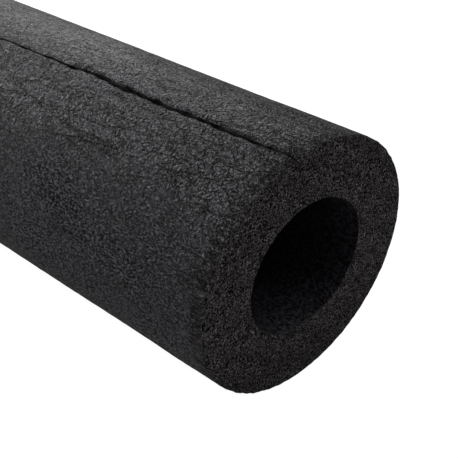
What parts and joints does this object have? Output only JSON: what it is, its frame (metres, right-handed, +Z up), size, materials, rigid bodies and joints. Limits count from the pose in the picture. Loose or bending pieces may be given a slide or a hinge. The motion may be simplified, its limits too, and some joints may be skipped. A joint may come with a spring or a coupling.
{
  "type": "pipe insulation lagging",
  "caption": "Straight length of dark grey foam lagging, a thick-walled tube slit along one side so that it opens to slip over a heating or water pipe.",
  "frame": {"origin": "middle of the tube's length, below its axis, on the surface that it lies on", "axes": "+X along the tube towards the cut end that the picture shows, +Z up, the slit near the top on the -Y side"},
  "size_m": [1, 0.0568, 0.0549],
  "materials": {
    "foam": "matt charcoal closed-cell foam with a thin creased skin"
  },
  "bodies": {
    "root": {"foam_tube": "foam"}
  },
  "joints": []
}
